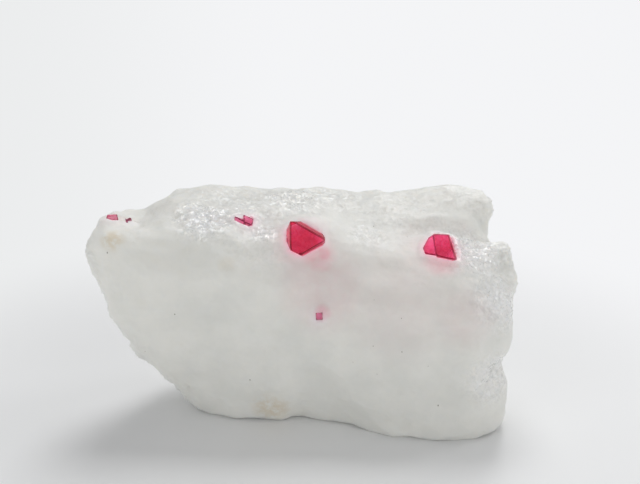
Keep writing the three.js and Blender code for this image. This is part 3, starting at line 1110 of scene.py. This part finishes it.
        # painted light against the crystals, fading with distance
        near = nearest_distance(trees, places, self.painted_light_reach)
        store_values(block.data, "painted_light", np.exp(-near / self.painted_light_fade))
        depth = nearest_distance([skin], places, self.socket_wall)
        store_values(block.data, "socket", (depth > self.buried).astype(float))


def main_face_normal(mesh: Mesh) -> Vector:
    """Finds the way that a crystal's largest outward face looks.

    Args:
        mesh: The crystal's mesh.

    Returns:
        The face's normal.
    """
    return max(mesh.polygons, key=lambda face: face.area * face.normal.dot(OUTWARD)).normal.copy()


def broken_grain_tree() -> NodeTree:
    """Makes the geometry tree that breaks a surface into leaning grain faces.

    Returns:
        The tree, with its sizes as named inputs, in metres.
    """
    maker, given, out = new_tree(
        "broken grain",
        "GeometryNodeTree",
        {
            "Geometry": "Geometry",
            "Coarse Grain": "Float",
            "Small Grain": "Float",
            "Bend Size": "Float",
            "Bend": "Float",
            "Relief": "Float",
            "Finish": "Material",
        },
        {"Geometry": "Geometry"},
    )
    place = maker.add("GeometryNodeInputPosition").outputs["Position"]
    bent = maker.wander(place, given.outputs["Bend Size"], given.outputs["Bend"])
    rises = []
    for size in ("Coarse Grain", "Small Grain"):
        grains = maker.grains(bent, given.outputs[size])
        offset = maker.vector("SUBTRACT", bent, grains.outputs["Position"])
        lean = maker.vector("SUBTRACT", grains.outputs["Color"], MIDDLE_GREY)
        rises.append(maker.vector("DOT_PRODUCT", offset, lean))
    rise = maker.math("MULTIPLY", maker.math("ADD", *rises), maker.named("relief"))
    rise = maker.math("MULTIPLY", rise, given.outputs["Relief"])
    normal = maker.add("GeometryNodeInputNormal").outputs["Normal"]
    inputs = {"Geometry": given.outputs["Geometry"], "Offset": maker.vector("SCALE", normal, rise)}
    moved = maker.add("GeometryNodeSetPosition", inputs)
    return end_tree(maker, given, out, moved.outputs["Geometry"])


# --- Dark flakes ---


@dataclass
class Flakes:
    """Small dark mica flakes lying in the marble's surface."""

    finish: Material
    skin: BVHTree
    radius: float = 0.09  # of a middling flake
    narrow: float = 0.7  # its other radius, as a share of the first
    thickness: float = 0.35  # and half its thickness
    spread: float = 0.45  # how far sizes differ
    scattered: int = 34
    middle: tuple = (0.0, 0.0, 14.0)  # rays for the scattered flakes aim at this point
    reach: float = 40.0  # a ray from this far out finds the surface
    behind: float = -3.0  # scattered flakes lie behind this y
    seed: int = 11
    placed: tuple = (  # near the front's surface
        (-24.7, -8.2, 25.0), (-16.4, -9.1, 17.0), (9.0, -11.2, 19.8), (9.0, -11.2, 13.5),
        (9.6, -11.1, 9.5), (17.5, -12.1, 5.5), (16.0, -11.8, 11.0), (-21.0, -7.0, 10.9),
        (12.4, -12.0, 17.6), (6.5, -10.4, 10.9), (-7.0, -9.0, 7.6), (12.6, -11.9, 13.0),
    )

    def build(self) -> Object:
        """Makes all the flakes as one piece.

        Returns:
            The finished flakes.
        """
        random = np.random.default_rng(self.seed)
        spots, turns = [], []
        for target in self._targets(random):
            place, normal, _, _ = self.skin.find_nearest(target)
            spots.append(place)
            turns.append(normal.to_track_quat("Z", "X").to_euler())
        mesh = bpy.data.meshes.new("dark_flakes")
        mesh.from_pydata([tuple(place) for place in spots], [], [])
        sizes = self.radius * (1.0 + self.spread * random.uniform(-1.0, 1.0, len(spots)))
        store_values(mesh, "size", sizes * MM)
        layer = mesh.attributes.new("turn", "FLOAT_VECTOR", "POINT")
        layer.data.foreach_set("vector", np.array(turns, np.float32).ravel())
        flakes = link_mesh("dark_flakes", mesh)
        values = {"Narrow": self.narrow, "Thickness": self.thickness, "Finish": self.finish}
        shape_by(flakes, scattered_flakes_tree(), values)
        return applied(flakes)

    def _targets(self, random: np.random.Generator) -> list[Vector]:
        """Lists where flakes go: the placed ones, then ones scattered behind the front.

        Args:
            random: What draws the scattered ones.

        Returns:
            Points on the surface or near it, in metres.
        """
        targets = [Vector(spot) * MM for spot in self.placed]
        middle = Vector(self.middle) * MM
        for _ in range(self.scattered):
            away = Vector(random.normal(size=3)).normalized() * self.reach * MM
            spot = self.skin.ray_cast(middle + away, -away)[0]
            if spot.y > self.behind * MM:
                targets.append(spot)
        return targets


def scattered_flakes_tree() -> NodeTree:
    """Makes the geometry tree that puts a flat flake on each point.

    Returns:
        The tree. Each point's size and turn come from its attributes.
    """
    maker, given, out = new_tree(
        "scattered flakes",
        "GeometryNodeTree",
        {"Geometry": "Geometry", "Narrow": "Float", "Thickness": "Float", "Finish": "Material"},
        {"Geometry": "Geometry"},
    )
    ball = maker.add("GeometryNodeMeshIcoSphere", {"Radius": 1.0, "Subdivisions": 2})
    radii = {"X": 1.0, "Y": given.outputs["Narrow"], "Z": given.outputs["Thickness"]}
    flat = maker.add("ShaderNodeCombineXYZ", radii).outputs["Vector"]
    inputs = {"Geometry": ball.outputs["Mesh"], "Scale": flat}
    flake = maker.add("GeometryNodeTransform", inputs)
    turn = {"Euler": maker.named("turn", "FLOAT_VECTOR")}
    points = maker.add("GeometryNodeMeshToPoints", {"Mesh": given.outputs["Geometry"]})
    copies = maker.add(
        "GeometryNodeInstanceOnPoints",
        {
            "Points": points.outputs["Points"],
            "Instance": flake.outputs["Geometry"],
            "Rotation": maker.add("FunctionNodeEulerToRotation", turn).outputs["Rotation"],
            "Scale": maker.named("size"),
        },
    )
    return end_tree(maker, given, out, copies.outputs["Instances"])


# --- The studio ---


@dataclass(frozen=True)
class SoftBox:
    """A soft light that faces the block."""

    name: str
    place: tuple  # metres
    size: tuple  # metres
    power: float  # watts


@dataclass(frozen=True)
class Studio:
    """A wide pale floor, a bright sky with a dim opening behind the camera, and soft lights."""

    floor_radius: float = 2500.0
    rings: tuple = (60.0, 160.0, 450.0)  # radii inside the floor's
    steps: int = 64  # how many sides the disc has
    stage_weld: float = 0.001  # how near the spin's two ends are
    near_floor: tuple = (0.90, 0.905, 0.91, 1.0)  # the floor's own colour
    floor_rough: float = 0.5
    floor_range: tuple = (28.0, 92.0)  # the floor gives way to the backdrop between these radii
    shine: tuple = (0.905, 0.91, 0.925, 1.0)  # how bright the far floor and the sky look
    shade: tuple = (0.835, 0.845, 0.85, 1.0)  # and how bright they look at the left
    shade_start: tuple = (2.0, -104.0, 56.0)  # the shade fans out from over the floor's near side
    shade_range: tuple = (-0.40, -0.02)  # how far right a direction is, from shade to shine
    sky: tuple = (0.985, 0.99, 1.0, 1.0)
    sky_light: float = 0.38
    opening_light: float = 0.16
    opening: tuple = (0.0, -0.955, 0.297)  # the direction of the opening's middle
    opening_range: tuple = (0.55, 0.9)  # the cosine of the angle from it, at the sky and inside
    soft_boxes: tuple = (
        SoftBox("top", (0.02, 0.16, 0.39), (0.18, 0.18), 0.56),
        SoftBox("side", (0.28, 0.09, 0.32), (0.10, 0.10), 0.14),
        SoftBox("back", (0.14, 0.32, 0.24), (0.12, 0.10), 0.18),
        SoftBox("front left", (-0.34, -0.34, 0.14), (0.3, 0.3), 0.44),
        SoftBox("front right", (0.34, -0.34, 0.14), (0.3, 0.3), 0.45),
    )
    aim: tuple = (0.0, 0.0, 15.0)  # the point that the lights face
    camera_place: tuple = (2.241, -104.414, 56.4)
    camera_down: float = 17.3  # degrees below level
    lens: float = 45.0
    sensor: float = 36.0
    nearest: float = 1.0  # the camera sees nothing nearer
    furthest: float = 10000.0  # nor further

    def build(self) -> None:
        """Makes the stage, the lights and the camera."""
        self._stage()
        self._world()
        for box in self.soft_boxes:
            self._light(box)
        self._camera()

    def _stage(self) -> None:
        """Makes the floor, a wide disc that glows far from the block and so meets the sky."""
        shape = bmesh.new()
        edges = []
        last = shape.verts.new((0.0, 0.0, 0.0))
        for radius in (*self.rings, self.floor_radius):
            vertex = shape.verts.new((radius * MM, 0.0, 0.0))
            edges.append(shape.edges.new((last, vertex)))
            last = vertex
        bmesh.ops.spin(
            shape, geom=shape.verts[:] + edges, cent=(0, 0, 0), axis=(0, 0, 1),
            angle=math.tau, steps=self.steps,
        )
        bmesh.ops.remove_doubles(shape, verts=shape.verts, dist=self.stage_weld * MM)
        bmesh.ops.recalc_face_normals(shape, faces=shape.faces)
        mesh = bpy.data.meshes.new("stage")
        shape.to_mesh(mesh)
        shape.free()
        stage = link_mesh("stage", mesh)
        mesh.materials.append(self._paper())
        stage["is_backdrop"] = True

    def _paper(self) -> Material:
        """Builds the floor's material.

        Returns:
            The material.
        """
        paper = bpy.data.materials.new("stage paper")
        maker = emptied(paper)
        place = maker.add("ShaderNodeTexCoord").outputs["Object"]
        inputs = {"Base Color": self.near_floor, "Roughness": self.floor_rough}
        sheet = maker.add("ShaderNodeBsdfPrincipled", inputs)
        fan = maker.vector("SUBTRACT", place, Vector(self.shade_start) * MM)
        glow = maker.add("ShaderNodeEmission", {"Color": self._backdrop(maker, fan)})
        start, end = self.floor_range
        far = maker.ramp(maker.vector("LENGTH", place), start * MM, end * MM)
        shaders = {0: far, 1: sheet.outputs["BSDF"], 2: glow.outputs["Emission"]}
        blend = maker.add("ShaderNodeMixShader", shaders)
        maker.add("ShaderNodeOutputMaterial", {"Surface": blend.outputs["Shader"]})
        return paper

    def _backdrop(self, maker: TreeMaker, direction: NodeSocket) -> NodeSocket:
        """Builds the backdrop's colour, which is a little darker to the left."""
        right = maker.vector("DOT_PRODUCT", maker.vector("NORMALIZE", direction), RIGHT)
        return maker.mix(maker.ramp(right, *self.shade_range), self.shade, self.shine)

    def _world(self) -> None:
        """Sets a pale sky that is dim only on the camera's side, as a light tent's opening is."""
        world = bpy.data.worlds.new("studio")
        maker = emptied(world)
        direction = maker.add("ShaderNodeTexCoord").outputs["Generated"]
        toward = maker.vector("DOT_PRODUCT", direction, self.opening)
        strength = maker.ramp(toward, *self.opening_range, self.sky_light, self.opening_light)
        seen = maker.add("ShaderNodeLightPath").outputs["Is Camera Ray"]
        lit = maker.add("ShaderNodeBackground", {"Color": self.sky, "Strength": strength})
        plain = maker.add("ShaderNodeBackground", {"Color": self._backdrop(maker, direction)})
        shaders = {0: seen, 1: lit.outputs["Background"], 2: plain.outputs["Background"]}
        sky = maker.add("ShaderNodeMixShader", shaders)
        maker.add("ShaderNodeOutputWorld", {"Surface": sky.outputs["Shader"]})
        bpy.context.scene.world = world

    def _light(self, box: SoftBox) -> None:
        """Hangs a soft box.

        Args:
            box: The soft box.
        """
        lamp = bpy.data.lights.new(box.name, "AREA")
        lamp.shape = "RECTANGLE"
        lamp.size, lamp.size_y = box.size
        lamp.energy = box.power
        holder = bpy.data.objects.new(box.name, lamp)
        holder.location = box.place
        toward = Vector(self.aim) * MM - holder.location
        holder.rotation_euler = toward.to_track_quat("-Z", "Y").to_euler()
        bpy.context.scene.collection.objects.link(holder)

    def _camera(self) -> None:
        """Sets up the camera."""
        lens = bpy.data.cameras.new("camera")
        lens.lens = self.lens
        lens.sensor_width = self.sensor
        lens.clip_start = self.nearest * MM
        lens.clip_end = self.furthest * MM
        camera = bpy.data.objects.new("camera", lens)
        camera.location = Vector(self.camera_place) * MM
        camera.rotation_euler = (math.radians(90.0 - self.camera_down), 0.0, 0.0)
        bpy.context.scene.collection.objects.link(camera)
        bpy.context.scene.camera = camera
        bpy.context.scene.view_settings.view_transform = "Standard"


def write_sizes(before: tuple, after: tuple) -> None:
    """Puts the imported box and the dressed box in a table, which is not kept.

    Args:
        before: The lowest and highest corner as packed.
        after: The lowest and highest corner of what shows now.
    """
    boxes = {"cad": before, "visual": after}
    boxes = {name: [list(corner) for corner in box] for name, box in boxes.items()}


def main() -> None:
    """Builds the specimen and its studio."""
    logging.basicConfig(level=logging.INFO, format="%(name)s: %(message)s")
    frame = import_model()
    packed_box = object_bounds()
    Studio().build()
    crystals = [node for name, node in sorted(frame["nodes"].items()) if name.startswith("spinel")]
    cleavage = cleavage_group()
    block, skin = Block(crystals, MarbleFinish().material(cleavage)).build()
    place_piece(block, Slot.MARBLE, "marble")
    dresser = CrystalDresser(SpinelFinish().material(cleavage), skin)
    for crystal in crystals:
        place_piece(dresser.dress(crystal), Slot.SPINEL, crystal.name)
    place_piece(Flakes(MicaFinish().material(), skin).build(), Slot.MARBLE)
    write_sizes(packed_box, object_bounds())


if __name__ == "__main__":
    main()
